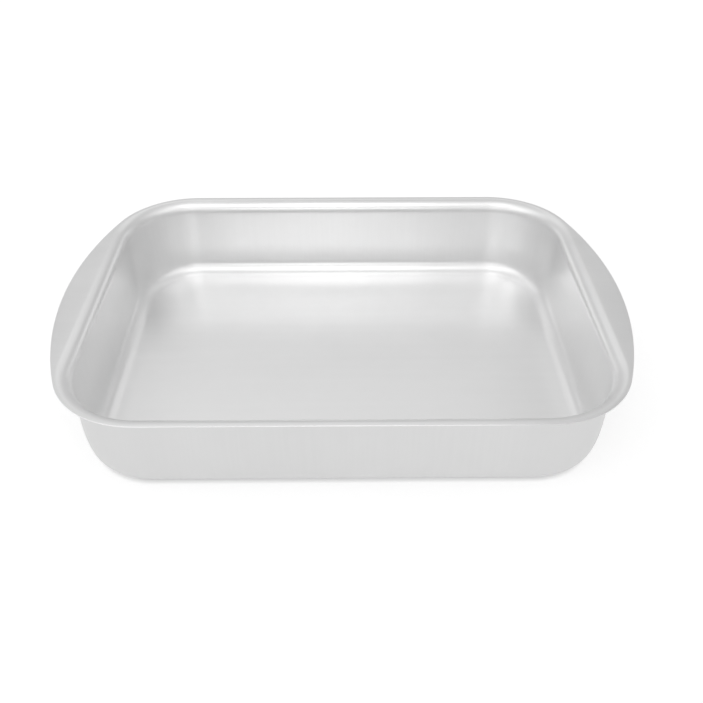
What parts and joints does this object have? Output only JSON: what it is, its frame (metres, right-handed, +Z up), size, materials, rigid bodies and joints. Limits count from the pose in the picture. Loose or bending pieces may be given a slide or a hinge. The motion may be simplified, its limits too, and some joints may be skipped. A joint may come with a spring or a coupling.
{
  "type": "roasting pan",
  "caption": "Deep rectangular roasting pan pressed from one aluminium sheet, with steep walls, round corners and a turned-out rim that widens into lifting lugs at the ends.",
  "frame": {"origin": "middle of the base, on the surface that the pan stands on", "axes": "+X along the pan's length towards one lug, +Y across its width, +Z up through the open top"},
  "size_m": [0.4, 0.286, 0.065],
  "materials": {
    "satin_aluminium": "satin, with a bright trimmed edge"
  },
  "bodies": {
    "root": {"pan_body": "satin_aluminium"}
  },
  "joints": []
}
